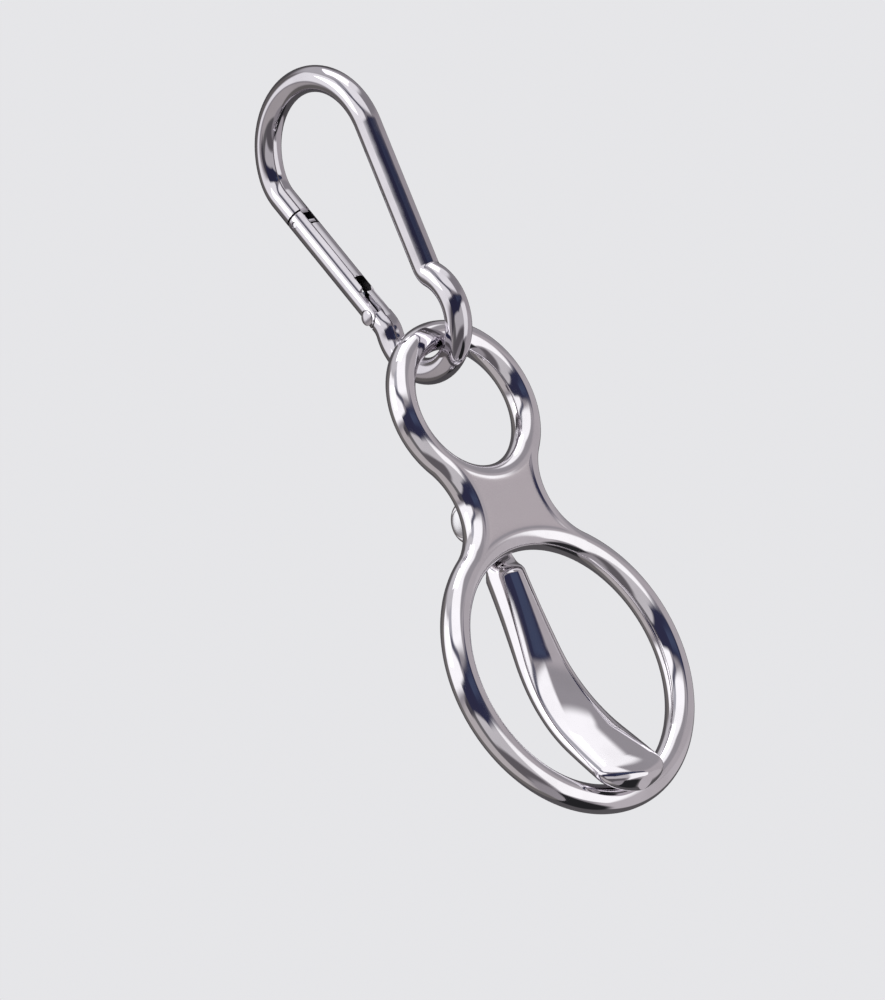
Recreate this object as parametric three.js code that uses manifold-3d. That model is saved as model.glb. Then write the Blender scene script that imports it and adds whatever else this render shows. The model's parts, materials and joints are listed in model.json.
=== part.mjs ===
// A friction ring for rope hung from a spring snap hook.
// The ring frame is a cast figure eight with a tongue hinged behind its waist.
// Millimetres, +Z up along the long axis, X across the ring, -Y towards its front.
// The origin is where the hook bears on the eye that it hangs from.

import * as THREE from "three";
import { mergeVertices } from "three/addons/utils/BufferGeometryUtils.js";
import Module from "manifold-3d";

const wasm = await Module();
wasm.setup();

// Clearances

const fitGap = 0.3; // between touching pieces
const slotGap = 0.3; // each side of a plate in its slot
const overrun = 1; // how far a cutter runs past what it cuts

// Ring frame

const ringWire = 7.0; // wire of both rings and of the waist, diameter
const bigRingRadius = 33.05; // centreline
const smallRingRadius = 18.45; // centreline
const ringCentres = 66.2; // from the big ring's centre to the small ring's
const waistRadius = 18.0; // centreline of the concave side rods
const webRecess = 0.15; // each face of the web below the wire's crest

// Tongue and its hinge

const hingeRise = 40.9; // pin above the big ring's centre
const hingeSetback = 8.05; // pin behind the ring's plane
const hingePinWidth = 3.5; // diameter
const pinHeadWidth = 7.0; // diameter
const pinHeadHeight = 1.0;
const earThickness = 2.9;
const earRadius = 5.2;
const knuckleWidth = 5.4;
const knuckleRadius = 4.0;
const neckThickness = 3.6; // tongue where it passes behind the big ring's top arc
const shoulderThickness = 9.6; // where the tongue is round, under its neck
const tongueThickness = 7.8; // near the tip
const tongueNeckWidth = 9.7;
const tongueWidth = 20.5; // at its widest, near the tip
const neckLength = 7.0; // from under the ears to where the neck has its full width
const shoulderDrop = 11.2; // below the pin, where the tongue starts to thicken
const shoulderLength = 3.4; // over which it reaches its full thickness
const tipSlantDeg = 34; // lower part of the tongue, forwards from the ring's plane
const bendRadius = 44; // between the shank and the slanted tip
const tipOverhang = 5.0; // past where the tongue rests on the ring
const tipRounding = 6.2; // length of the rounded tip
const tipFullnessShare = 0.97; // how much of a whole ellipse the tip's end keeps
const tipThickShare = 0.45; // how much of its thickness the tip keeps

// Domed head of a pin, from its middle to its seat: shares of the head's radius and height

const headShares = [
  [0, 1],
  [0.5, 0.85],
  [1, 0.5],
  [1, 0],
];

// Snap hook

const hookWire = 6.4; // diameter
const topBowRadius = 18.3; // centreline
const narrowBowRadius = 11.9; // centreline
const bowCentres = 47.7; // from one bow's centre down to the other's
const spineInset = 7.7; // from the spine's line to the narrow bow's centre
const neckBendRadius = 3.8; // small reverse bend under the spine
const heelInset = 2.4; // the gate's line passes this far inside the narrow bow
const noseInset = 0.8; // and this far inside the top bow
const heelBendRadius = 6.0; // reverse bend under the gate's hinge
const noseBendRadius = 12.0; // from the top bow into the nose
const noseLength = 6.2; // straight end above the gate
const ringLead = 1.8; // ring's plane in front of the narrow bow's centre

// Gate, its rivet, its latch and the plunger inside

const gatePivotRise = 2.9; // rivet above the end of the heel's bend
const cheekRadius = 2.5; // round end of the gate's fork
const cheekHeight = 5.8; // where the fork widens to the whole gate
const forkTaper = 2.0; // length of that widening
const forkDepth = 10.0; // fork's slot above the rivet
const shoulderRelief = 1.2; // room inside the shoulder for the opening fork
const tangThickness = 2.4;
const tangHeight = 5.0; // end of the tang above the rivet
const rivetWidth = 2.2; // diameter
const rivetHeadWidth = 3.6; // diameter
const rivetHeadHeight = 0.6;
const rivetSink = 0.7; // the heads' seats below the gate's sides
const latchThickness = 2.0;
const latchWidth = 5.6;
const latchDepth = 4.0; // reach of the nose's latch into the gate
const latchEndRoom = 0.7; // in the slot below the latch
const latchPinWidth = 1.6; // diameter
const latchPinDepth = 1.9; // pin below the end of the gate
const boreWidth = 3.0; // diameter of the gate's blind bore
const boreEndWall = 2.8; // between the bore and the latch's slot
const plungerLength = 7.2;
const plungerNoseShare = 0.5; // radius that its blunt nose starts with
const plungerNoseLength = 1.2;
const springWire = 0.4; // diameter
const springPitch = 1.1;

// Fineness of the round shapes

const wireSides = 12;
const tongueSides = 16;
const pinSides = 24;
const ringSteps = 72; // around a full ring
const arcStepDeg = 8;
const shankSteps = 16; // along the tongue's straight shank
const tipSteps = 14; // along its slanted end
const springSides = 5;
const springSteps = 8; // around one curl

// Sizes worked out from those above

const ringWireRadius = ringWire / 2;
const hookWireRadius = hookWire / 2;
const webThickness = ringWire - 2 * webRecess;
const slotWidth = tangThickness + 2 * slotGap;
const latchSlotWidth = latchThickness + 2 * slotGap;
const gateAxisShift = hookWireRadius - cheekRadius; // gate's axis inward of the rivet

// Finishes

const polished = { color: 0xd9dadf, roughness: 0.08, metalness: 1 };
const turned = { color: 0xb4b0b6, roughness: 0.3, metalness: 1 };
const springSteel = { color: 0x8d8f93, roughness: 0.35, metalness: 1 };

// Solids and joins

function solidOf(geometry) {
  const bare = geometry.clone();
  bare.deleteAttribute("normal");
  bare.deleteAttribute("uv");
  const welded = mergeVertices(bare);
  const mesh = new wasm.Mesh({
    numProp: 3,
    vertProperties: welded.attributes.position.array,
    triVerts: welded.index.array,
  });
  return new wasm.Manifold(mesh);
}

function geometryOf(solid) {
  const mesh = solid.getMesh();
  const geometry = new THREE.BufferGeometry();
  geometry.setAttribute("position", new THREE.BufferAttribute(mesh.vertProperties, 3));
  geometry.setIndex(new THREE.BufferAttribute(mesh.triVerts, 1));
  return geometry;
}

function join(first, ...others) {
  return others.reduce((whole, part) => whole.add(part), first);
}

function cut(first, ...others) {
  return others.reduce((whole, part) => whole.subtract(part), first);
}

// Paths in a plane: stations with a place and a heading in radians

function arcPath(centre, radius, fromDeg, toDeg) {
  const steps = Math.max(2, Math.ceil(Math.abs(toDeg - fromDeg) / arcStepDeg));
  const quarterTurn = (Math.sign(toDeg - fromDeg) * Math.PI) / 2;
  return Array.from({ length: steps + 1 }, (_, i) => {
    const angle = THREE.MathUtils.degToRad(fromDeg + ((toDeg - fromDeg) * i) / steps);
    const place = new THREE.Vector2(Math.cos(angle), Math.sin(angle));
    return { place: place.multiplyScalar(radius).add(centre), heading: angle + quarterTurn };
  });
}

function linePath(start, end, steps = 1) {
  const heading = Math.atan2(end.y - start.y, end.x - start.x);
  return Array.from({ length: steps + 1 }, (_, i) => ({
    place: start.clone().lerp(end, i / steps),
    heading,
  }));
}

function chain(...paths) {
  return paths.flatMap((path, i) => (i === 0 ? path : path.slice(1)));
}

// Faces of a closed tube whose rings of points follow each other
function tubeFaces(rings, sides) {
  const index = [];
  for (let i = 0; i + 1 < rings; i += 1) {
    for (let k = 0; k < sides; k += 1) {
      const here = i * sides + k;
      const beside = i * sides + ((k + 1) % sides);
      index.push(here, here + sides, beside, beside, here + sides, beside + sides);
    }
  }
  const last = (rings - 1) * sides;
  for (let k = 1; k + 1 < sides; k += 1) {
    index.push(0, k, k + 1);
    index.push(last, last + k + 1, last + k);
  }
  return index;
}

// A bar swept along a path: its section lies across the heading.
// The path's plane is (u, v) and the section's width runs along the plane's normal.

function sweep(path, sectionAt, sides, plane) {
  const positions = [];
  const lengths = [0];
  for (let i = 1; i < path.length; i += 1) {
    lengths.push(lengths[i - 1] + path[i].place.distanceTo(path[i - 1].place));
  }
  path.forEach(({ place, heading }, i) => {
    const { halfWidth, halfThick } = sectionAt(lengths[i], lengths.at(-1));
    for (let k = 0; k < sides; k += 1) {
      const angle = (2 * Math.PI * k) / sides;
      const across = halfThick * Math.sin(angle);
      const point = new THREE.Vector3(
        halfWidth * Math.cos(angle),
        place.x - across * Math.sin(heading),
        place.y + across * Math.cos(heading),
      );
      positions.push(...point.applyMatrix4(plane).toArray());
    }
  });
  const geometry = new THREE.BufferGeometry();
  geometry.setAttribute("position", new THREE.Float32BufferAttribute(positions, 3));
  geometry.setIndex(tubeFaces(path.length, sides));
  return geometry;
}

const sidePlane = new THREE.Matrix4(); // u is Y and v is Z
const frontPlane = new THREE.Matrix4().makeBasis(
  new THREE.Vector3(0, -1, 0),
  new THREE.Vector3(1, 0, 0),
  new THREE.Vector3(0, 0, 1),
);

function roundBar(path, radius, plane) {
  const section = () => ({ halfWidth: radius, halfThick: radius });
  return solidOf(sweep(path, section, wireSides, plane));
}

// A plate whose outline lies in the YZ plane, spread from one X to another
function sidePlate(outline, fromX, toX) {
  const plate = new THREE.ExtrudeGeometry(outline, {
    depth: toX - fromX,
    bevelEnabled: false,
    curveSegments: wireSides,
  });
  const axes = new THREE.Matrix4().makeBasis(
    new THREE.Vector3(0, 1, 0),
    new THREE.Vector3(0, 0, 1),
    new THREE.Vector3(1, 0, 0),
  );
  plate.applyMatrix4(axes);
  plate.translate(fromX, 0, 0);
  return plate;
}

function middlePlate(outline, thickness) {
  return solidOf(sidePlate(outline, -thickness / 2, thickness / 2));
}

function bothSides(outline, inner, outer) {
  const plate = solidOf(sidePlate(outline, inner, outer));
  return join(plate, plate.mirror([1, 0, 0]));
}

function degreesOf(place) {
  return THREE.MathUtils.radToDeg(Math.atan2(place.y, place.x));
}

function rectangle(fromY, toY, fromZ, toZ) {
  const outline = new THREE.Shape();
  outline.moveTo(fromY, fromZ);
  outline.lineTo(toY, fromZ);
  outline.lineTo(toY, toZ);
  outline.lineTo(fromY, toZ);
  outline.closePath();
  return outline;
}

function disc(radius, y = 0, z = 0) {
  const outline = new THREE.Shape();
  outline.absarc(y, z, radius, 0, 2 * Math.PI);
  return outline;
}

// A round pin along X with a low domed head on each end
function headedPin(radius, halfLength, headRadius, headHeight) {
  const head = headShares.map(([r, x]) => [r * headRadius, halfLength + x * headHeight]);
  const shank = [radius, halfLength];
  const profile = [...head, shank];
  const otherEnd = profile.map(([r, x]) => [r, -x]);
  const points = [...otherEnd, ...profile.toReversed()].map(([r, x]) => new THREE.Vector2(r, x));
  const pin = new THREE.LatheGeometry(points, pinSides);
  pin.rotateZ(-Math.PI / 2);
  return pin;
}

// Ring frame, in its own place: the big ring's centre is the origin

const waistRise =
  (ringCentres ** 2 + (bigRingRadius + waistRadius) ** 2 - (smallRingRadius + waistRadius) ** 2) /
  (2 * ringCentres);
const waistReach = Math.sqrt((bigRingRadius + waistRadius) ** 2 - waistRise ** 2);
const bigTangent = Math.atan2(waistRise, waistReach); // where a side rod meets the big ring
const smallTangent = Math.atan2(ringCentres - waistRise, waistReach); // and the small one

function ringTorus(radius, rise) {
  const torus = new THREE.TorusGeometry(radius, ringWireRadius, wireSides, ringSteps);
  torus.rotateX(Math.PI / 2);
  torus.translate(0, 0, rise);
  return solidOf(torus);
}

function sideRods() {
  const centre = new THREE.Vector2(waistReach, waistRise);
  const from = 180 - THREE.MathUtils.radToDeg(smallTangent);
  const to = 180 + THREE.MathUtils.radToDeg(bigTangent);
  const rod = roundBar(arcPath(centre, waistRadius, from, to), ringWireRadius, frontPlane);
  return join(rod, rod.mirror([1, 0, 0]));
}

function webPlate() {
  const outline = new THREE.Shape();
  outline.absarc(0, 0, bigRingRadius, bigTangent, Math.PI - bigTangent, false);
  outline.absarc(-waistReach, waistRise, waistRadius, -bigTangent, smallTangent, false);
  outline.absarc(0, ringCentres, smallRingRadius, smallTangent - Math.PI, -smallTangent, false);
  outline.absarc(waistReach, waistRise, waistRadius, Math.PI - smallTangent, Math.PI + bigTangent, false);
  const plate = new THREE.ExtrudeGeometry(outline, {
    depth: webThickness,
    bevelEnabled: false,
    curveSegments: wireSides,
  });
  plate.rotateX(Math.PI / 2);
  plate.translate(0, webThickness / 2, 0);
  return solidOf(plate);
}

const earInner = knuckleWidth / 2 + fitGap;
const earOuter = earInner + earThickness;
const pinHole = middlePlate(
  disc(hingePinWidth / 2 + fitGap, hingeSetback, hingeRise),
  2 * (earOuter + overrun),
);

function ears() {
  const outline = new THREE.Shape();
  outline.moveTo(0, hingeRise - earRadius);
  outline.lineTo(hingeSetback, hingeRise - earRadius);
  outline.absarc(hingeSetback, hingeRise, earRadius, -Math.PI / 2, Math.PI / 2, false);
  outline.lineTo(0, hingeRise + earRadius);
  outline.closePath();
  return bothSides(outline, earInner, earOuter);
}

function ringFrame() {
  const rings = join(
    ringTorus(bigRingRadius, 0),
    ringTorus(smallRingRadius, ringCentres),
    sideRods(),
    webPlate(),
    ears(),
  );
  return geometryOf(cut(rings, pinHole));
}

// Tongue: a shank behind the ring, a bend, and a slanted tip that rests on the ring's front

function tongue() {
  const tipSlant = THREE.MathUtils.degToRad(tipSlantDeg);
  const seatDistance = ringWireRadius + fitGap + tongueThickness / 2;
  const seat = new THREE.Vector2(
    -seatDistance * Math.cos(tipSlant),
    -bigRingRadius + seatDistance * Math.sin(tipSlant),
  );
  const cornerRise = seat.y + (hingeSetback - seat.x) / Math.tan(tipSlant);
  const bendReach = bendRadius * Math.tan(tipSlant / 2);
  const pin = new THREE.Vector2(hingeSetback, hingeRise);
  const bendStart = new THREE.Vector2(hingeSetback, cornerRise + bendReach);
  const bendCentre = new THREE.Vector2(hingeSetback - bendRadius, bendStart.y);
  const bend = arcPath(bendCentre, bendRadius, 0, -tipSlantDeg);
  const end = new THREE.Vector2(-Math.sin(tipSlant), -Math.cos(tipSlant))
    .multiplyScalar(tipOverhang)
    .add(seat);
  const underEars = earRadius + fitGap;
  const neckStart = new THREE.Vector2(hingeSetback, hingeRise - underEars);
  const path = chain(
    linePath(pin, neckStart),
    linePath(neckStart, bendStart, shankSteps),
    bend,
    linePath(bend.at(-1).place, end, tipSteps),
  );
  const sectionAt = (length, whole) => {
    const widening = THREE.MathUtils.smoothstep(length, underEars, underEars + neckLength);
    const along = THREE.MathUtils.smoothstep(length, underEars + neckLength, whole - tipRounding);
    const intoTip = Math.max(0, length - (whole - tipRounding)) / tipRounding;
    const tip = Math.sqrt(Math.max(0, 1 - (intoTip * tipFullnessShare) ** 2));
    const neck = THREE.MathUtils.lerp(knuckleWidth, tongueNeckWidth, widening);
    const width = THREE.MathUtils.lerp(neck, tongueWidth, along);
    const full = THREE.MathUtils.smoothstep(length, shoulderDrop, shoulderDrop + shoulderLength);
    const under = THREE.MathUtils.lerp(shoulderThickness, tongueThickness, along);
    const thick = THREE.MathUtils.lerp(neckThickness, under, full);
    const tipThick = THREE.MathUtils.lerp(tip, 1, tipThickShare);
    return { halfWidth: (width / 2) * tip, halfThick: (thick / 2) * tipThick };
  };
  const bar = solidOf(sweep(path, sectionAt, tongueSides, sidePlane));
  const knuckle = middlePlate(disc(knuckleRadius, hingeSetback, hingeRise), knuckleWidth);
  return geometryOf(cut(join(bar, knuckle), pinHole));
}

const hingePin = headedPin(hingePinWidth / 2, earOuter + fitGap, pinHeadWidth / 2, pinHeadHeight);

// Snap hook, in its own place: the top bow's centre is the origin, and places are (Y, Z)

const narrowBow = new THREE.Vector2(spineInset - topBowRadius, -bowCentres);
const heelReach = narrowBowRadius - heelInset; // from the narrow bow's centre to the gate's line
const noseReach = topBowRadius - noseInset; // from the top bow's centre to the gate's line
const gateSlant =
  Math.atan2(-narrowBow.x, bowCentres) + Math.asin((noseReach - heelReach) / narrowBow.length());
const outward = new THREE.Vector2(Math.cos(gateSlant), -Math.sin(gateSlant));
const upGate = new THREE.Vector2(Math.sin(gateSlant), Math.cos(gateSlant));

function along(start, outwards, upwards) {
  return start.clone().addScaledVector(outward, outwards).addScaledVector(upGate, upwards);
}

const heelClimb = Math.sqrt(
  (narrowBowRadius + heelBendRadius) ** 2 - (heelReach + heelBendRadius) ** 2,
);
const heelCentre = along(narrowBow, heelReach + heelBendRadius, heelClimb);
const heelEnd = along(narrowBow, heelReach, heelClimb);
const gatePivot = along(heelEnd, gateAxisShift, gatePivotRise);
const noseClimb = Math.sqrt(
  (topBowRadius - noseBendRadius) ** 2 - (noseReach - noseBendRadius) ** 2,
);
const noseCentre = along(new THREE.Vector2(), noseReach - noseBendRadius, noseClimb);
const noseFace = along(noseCentre, noseBendRadius, -noseLength);
const gateLength = noseFace.clone().sub(gatePivot).dot(upGate) - fitGap;

function hookPath() {
  const slantDeg = THREE.MathUtils.radToDeg(gateSlant);
  const neckReach = spineInset + neckBendRadius;
  const neckClimb = Math.sqrt((neckBendRadius + narrowBowRadius) ** 2 - neckReach ** 2);
  const neckDeg = THREE.MathUtils.radToDeg(Math.atan2(neckClimb, neckReach));
  const neckCentre = new THREE.Vector2(narrowBow.x - neckReach, narrowBow.y + neckClimb);
  const noseDeg = degreesOf(noseCentre);
  const heelDeg = degreesOf(heelCentre.clone().sub(narrowBow));
  const noseBend = arcPath(noseCentre, noseBendRadius, -slantDeg, noseDeg);
  const topBow = arcPath(new THREE.Vector2(), topBowRadius, noseDeg, 180);
  const neckBend = arcPath(neckCentre, neckBendRadius, 0, -neckDeg);
  const lowBow = arcPath(narrowBow, narrowBowRadius, 180 - neckDeg, 360 + heelDeg);
  const heelBend = arcPath(heelCentre, heelBendRadius, 180 + heelDeg, 180 - slantDeg);
  const tangEnd = along(gatePivot, -gateAxisShift, tangHeight);
  return chain(
    linePath(noseFace, noseBend[0].place),
    noseBend,
    topBow,
    linePath(topBow.at(-1).place, neckBend[0].place),
    neckBend,
    lowBow,
    heelBend,
    linePath(heelBend.at(-1).place, tangEnd),
  );
}

// The gate's own place: its rivet is the origin and +Z runs up the gate
const gatePlace = new THREE.Matrix4()
  .makeRotationX(-gateSlant)
  .setPosition(0, gatePivot.x, gatePivot.y);

const latchPinRise = gateLength - latchPinDepth;
const latchPinHole = latchPinWidth / 2 + fitGap;

const rivetHole = middlePlate(disc(rivetWidth / 2 + fitGap), hookWire + overrun);

function noseLatch() {
  const middle = -gateAxisShift;
  const plate = middlePlate(
    rectangle(
      middle - latchWidth / 2,
      middle + latchWidth / 2,
      gateLength - latchDepth,
      gateLength + fitGap + overrun,
    ),
    latchThickness,
  );
  const notch = rectangle(
    middle - latchWidth,
    middle,
    latchPinRise - latchPinHole,
    latchPinRise + latchPinHole,
  );
  return cut(
    plate,
    middlePlate(notch, latchThickness + overrun),
    middlePlate(disc(latchPinHole, middle, latchPinRise), latchThickness + overrun),
  );
}

function snapBody() {
  const wire = roundBar(hookPath(), hookWireRadius, sidePlane);
  const inner = tangThickness / 2;
  const outer = hookWireRadius + overrun;
  const shoulder = bothSides(disc(cheekRadius + fitGap), inner, outer);
  const flatTop = tangHeight + overrun;
  const flats = join(
    bothSides(rectangle(-hookWire, hookWire, 0, flatTop), inner, outer),
    bothSides(rectangle(-hookWire, 0, -shoulderRelief, flatTop), inner, outer),
  );
  const inPlace = (solid) => solidOf(geometryOf(solid).applyMatrix4(gatePlace));
  const formed = cut(wire, inPlace(join(shoulder, flats)), inPlace(rivetHole));
  return geometryOf(join(formed, inPlace(noseLatch())));
}

function gateBar(radius, from, to, sides) {
  const bar = new THREE.CylinderGeometry(radius, radius, to - from, sides);
  bar.rotateX(Math.PI / 2);
  bar.translate(0, -gateAxisShift, (from + to) / 2);
  return solidOf(bar);
}

const latchSlotEnd = gateLength - latchDepth - latchEndRoom;
const boreTop = latchSlotEnd - boreEndWall;
const rivetSeat = hookWireRadius - rivetSink;

function snapGate() {
  const innerFace = -gateAxisShift - hookWireRadius - overrun;
  const outline = new THREE.Shape();
  outline.moveTo(innerFace, gateLength + overrun);
  outline.lineTo(innerFace, cheekHeight + forkTaper);
  outline.lineTo(-cheekRadius, cheekHeight);
  outline.lineTo(-cheekRadius, 0);
  outline.absarc(0, 0, cheekRadius, Math.PI, 2 * Math.PI, false);
  outline.lineTo(cheekRadius + overrun, overrun);
  outline.lineTo(cheekRadius + overrun, gateLength + overrun);
  outline.closePath();
  const bar = gateBar(hookWireRadius, -cheekRadius - overrun, gateLength, pinSides);
  const shaped = bar.intersect(middlePlate(outline, hookWire + overrun));
  const forkSlot = rectangle(-hookWire, hookWire, -hookWire, forkDepth);
  const latchSlot = rectangle(-hookWire, hookWire, latchSlotEnd, gateLength + overrun);
  return geometryOf(
    cut(
      shaped,
      middlePlate(forkSlot, slotWidth),
      middlePlate(latchSlot, latchSlotWidth),
      gateBar(boreWidth / 2, forkDepth - overrun, boreTop, wireSides),
      middlePlate(disc(latchPinHole, -gateAxisShift, latchPinRise), hookWire + overrun),
      rivetHole,
      bothSides(disc(rivetHeadWidth / 2 + fitGap), rivetSeat, hookWire),
    ),
  );
}

const gateRivet = headedPin(
  rivetWidth / 2,
  rivetSeat + fitGap,
  rivetHeadWidth / 2,
  rivetHeadHeight,
);

function latchPin() {
  const pin = new THREE.CylinderGeometry(
    latchPinWidth / 2,
    latchPinWidth / 2,
    hookWire - 2 * fitGap,
    wireSides,
  );
  pin.rotateZ(Math.PI / 2);
  pin.translate(0, -gateAxisShift, latchPinRise);
  return pin;
}

const plungerRadius = boreWidth / 2 - fitGap;
const plungerBottom = tangHeight + fitGap;
const plungerTop = plungerBottom + plungerLength;

function plunger() {
  const profile = [
    [0, plungerBottom],
    [plungerRadius * plungerNoseShare, plungerBottom],
    [plungerRadius, plungerBottom + plungerNoseLength],
    [plungerRadius, plungerTop],
    [0, plungerTop],
  ].map(([r, z]) => new THREE.Vector2(r, z));
  const pin = new THREE.LatheGeometry(profile, wireSides);
  pin.rotateX(Math.PI / 2);
  pin.translate(0, -gateAxisShift, 0);
  return pin;
}

// The gate's spring: one unbroken tube wound between the plunger and the bore's end

function gateSpring() {
  const coilRadius = boreWidth / 2 - fitGap - springWire / 2;
  const bottom = plungerTop + fitGap + springWire / 2;
  const top = boreTop - fitGap - springWire / 2;
  const steps = Math.round(((top - bottom) / springPitch) * springSteps);
  const climb = Math.atan2(springPitch, 2 * Math.PI * coilRadius);
  const centres = [];
  const positions = [];
  for (let i = 0; i <= steps; i += 1) {
    const turn = (2 * Math.PI * i) / springSteps;
    const centre = new THREE.Vector3(
      coilRadius * Math.cos(turn),
      coilRadius * Math.sin(turn) - gateAxisShift,
      bottom + ((top - bottom) * i) / steps,
    );
    centres.push(centre);
    const out = new THREE.Vector3(Math.cos(turn), Math.sin(turn), 0);
    const up = new THREE.Vector3(
      Math.sin(climb) * Math.sin(turn),
      -Math.sin(climb) * Math.cos(turn),
      Math.cos(climb),
    );
    for (let k = 0; k < springSides; k += 1) {
      const angle = (2 * Math.PI * k) / springSides;
      const point = centre
        .clone()
        .addScaledVector(out, (springWire / 2) * Math.cos(angle))
        .addScaledVector(up, (springWire / 2) * Math.sin(angle));
      positions.push(...point.toArray());
    }
  }
  const gaps = centres
    .slice(springSteps)
    .map((centre, i) => centre.distanceTo(centres[i]) - springWire);
  console.log(`least gap between the spring's curls: ${Math.min(...gaps).toFixed(2)} mm`);
  const geometry = new THREE.BufferGeometry();
  geometry.setAttribute("position", new THREE.Float32BufferAttribute(positions, 3));
  geometry.setIndex(tubeFaces(steps + 1, springSides));
  return geometry;
}

// The assembly

function piece(name, geometry, finish) {
  const mesh = new THREE.Mesh(geometry, new THREE.MeshStandardMaterial(finish));
  mesh.name = name;
  return mesh;
}

const ringSeat = narrowBowRadius - hookWireRadius - ringWireRadius - fitGap;
const ringTop = narrowBow
  .clone()
  .add(new THREE.Vector2(-ringLead, -Math.sqrt(ringSeat ** 2 - ringLead ** 2)));

const ringGroup = new THREE.Group();
ringGroup.position.set(0, ringTop.x, ringTop.y - smallRingRadius - ringCentres);
const tonguePin = piece("tongue_hinge_pin", hingePin, turned);
tonguePin.position.set(0, hingeSetback, hingeRise);
ringGroup.add(piece("ring_frame", ringFrame(), polished), piece("tongue", tongue(), polished), tonguePin);

const gateGroup = new THREE.Group();
gateGroup.applyMatrix4(gatePlace);
gateGroup.add(
  piece("snap_gate", snapGate(), polished),
  piece("gate_rivet", gateRivet, polished),
  piece("latch_pin", latchPin(), turned),
  piece("gate_plunger", plunger(), turned),
  piece("gate_spring", gateSpring(), springSteel),
);

const group = new THREE.Group();
group.add(piece("snap_body", snapBody(), polished), gateGroup, ringGroup);
group.position.z = hookWireRadius - topBowRadius;

export default group;
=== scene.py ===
# A friction ring with a hinged tongue, hung from a spring snap hook.
# Pieces are modelled in millimetres and settled into metres when finished.

import json
import math

import bpy
import numpy as np
from mathutils import Matrix, Vector


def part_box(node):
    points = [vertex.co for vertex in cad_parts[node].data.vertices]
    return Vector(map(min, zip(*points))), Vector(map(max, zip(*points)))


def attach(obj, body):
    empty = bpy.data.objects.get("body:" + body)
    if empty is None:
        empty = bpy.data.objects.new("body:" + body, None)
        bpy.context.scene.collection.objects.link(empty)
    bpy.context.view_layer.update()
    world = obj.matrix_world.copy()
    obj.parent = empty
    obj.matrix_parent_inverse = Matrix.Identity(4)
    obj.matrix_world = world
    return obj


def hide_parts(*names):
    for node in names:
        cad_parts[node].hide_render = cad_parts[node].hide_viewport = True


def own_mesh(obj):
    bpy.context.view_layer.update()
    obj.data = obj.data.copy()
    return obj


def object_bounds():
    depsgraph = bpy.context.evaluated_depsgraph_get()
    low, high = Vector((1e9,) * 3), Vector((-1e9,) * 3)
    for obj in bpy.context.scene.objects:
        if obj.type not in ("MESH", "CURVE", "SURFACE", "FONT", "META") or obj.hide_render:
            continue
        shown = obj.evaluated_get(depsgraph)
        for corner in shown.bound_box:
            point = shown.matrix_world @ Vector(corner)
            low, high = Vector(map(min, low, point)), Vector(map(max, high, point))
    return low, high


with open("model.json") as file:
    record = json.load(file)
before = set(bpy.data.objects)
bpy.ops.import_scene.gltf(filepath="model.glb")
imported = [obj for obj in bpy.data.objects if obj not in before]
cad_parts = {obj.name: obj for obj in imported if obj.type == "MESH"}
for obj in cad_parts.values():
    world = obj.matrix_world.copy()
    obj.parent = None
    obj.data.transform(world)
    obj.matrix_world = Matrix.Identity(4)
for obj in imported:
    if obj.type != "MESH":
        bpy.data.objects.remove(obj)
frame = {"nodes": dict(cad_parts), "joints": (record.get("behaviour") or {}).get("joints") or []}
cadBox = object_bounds()
toMetres = Matrix.Scale(0.001, 4)
roundSides = 64  # of a cylinder that isn't given its own
smallSides = 48  # of thin pins and their holes
pickWithin = 0.01  # a vertex this near a face's height counts as on it
print("stage: frame loaded")


# Small tools for working by hand

def deselect():
    if bpy.context.object and bpy.context.object.mode != "OBJECT":
        bpy.ops.object.mode_set(mode="OBJECT")
    bpy.ops.object.select_all(action="DESELECT")


def choose(piece):
    deselect()
    piece.select_set(True)
    bpy.context.view_layer.objects.active = piece
    return piece


def added(name):
    piece = bpy.context.object
    piece.name = name
    piece.data.name = name
    return piece


def addCylinder(name, radius, low, high, sides=roundSides, axis="X", place=(0, 0)):
    deselect()
    turns = {"X": (0, math.pi / 2, 0), "Z": (0, 0, 0)}
    halfWay = (low + high) / 2
    spots = {"X": (halfWay, *place), "Z": (*place, halfWay)}
    bpy.ops.mesh.primitive_cylinder_add(
        vertices=sides, radius=radius, depth=high - low, location=spots[axis], rotation=turns[axis]
    )
    piece = added(name)
    bpy.ops.object.transform_apply()
    return piece


# A filled disc left in edit mode, selected and ready to extrude
def startDisc(name, radius, sides, place=(0, 0, 0), turn=(0, 0, 0)):
    deselect()
    bpy.ops.mesh.primitive_circle_add(
        vertices=sides, radius=radius, fill_type="NGON", location=place, rotation=turn
    )
    disc = added(name)
    bpy.ops.object.transform_apply()
    bpy.ops.object.mode_set(mode="EDIT")
    bpy.ops.mesh.select_all(action="SELECT")
    return disc


def extrudeBy(x, y, z):
    bpy.ops.mesh.extrude_region_move(TRANSFORM_OT_translate={"value": (x, y, z)})


# Ends editing with every face pointing outwards
def turnOutwards():
    bpy.ops.mesh.select_all(action="SELECT")
    bpy.ops.mesh.normals_make_consistent(inside=False)
    bpy.ops.object.mode_set(mode="OBJECT")


def addBlock(name, low, high):
    deselect()
    centre = [(a + b) / 2 for a, b in zip(low, high)]
    size = [b - a for a, b in zip(low, high)]
    bpy.ops.mesh.primitive_cube_add(size=1, location=centre, scale=size)
    piece = added(name)
    bpy.ops.object.transform_apply()
    return piece


def pickVertices(piece, test):
    bpy.ops.object.mode_set(mode="EDIT")
    bpy.ops.mesh.select_mode(type="VERT")
    bpy.ops.mesh.select_all(action="DESELECT")
    bpy.ops.object.mode_set(mode="OBJECT")
    for vertex in piece.data.vertices:
        vertex.select = bool(test(vertex.co))
    bpy.ops.object.mode_set(mode="EDIT")


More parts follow.
